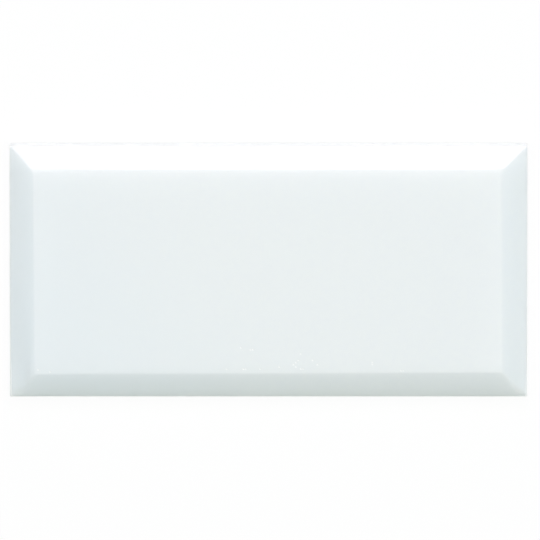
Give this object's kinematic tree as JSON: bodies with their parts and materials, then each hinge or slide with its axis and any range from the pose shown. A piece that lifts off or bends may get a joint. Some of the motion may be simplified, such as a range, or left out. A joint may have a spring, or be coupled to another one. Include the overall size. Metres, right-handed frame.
{
  "type": "bevelled marble tile",
  "caption": "Rectangular white marble wall tile with a flat polished face, a wide shallow bevel on all sides with mitred corners, and a flat sawn back.",
  "frame": {"origin": "centre of the sawn back, which lies on the floor or against the wall", "axes": "+X along the tile's length, +Y along its width, +Z out of the polished face"},
  "size_m": [0.1492, 0.073, 0.0095],
  "materials": {
    "marble": "cool white marble, polished on the face and the bevels, sawn on the edges and the back"
  },
  "bodies": {
    "root": {"tile": "marble"}
  },
  "joints": []
}
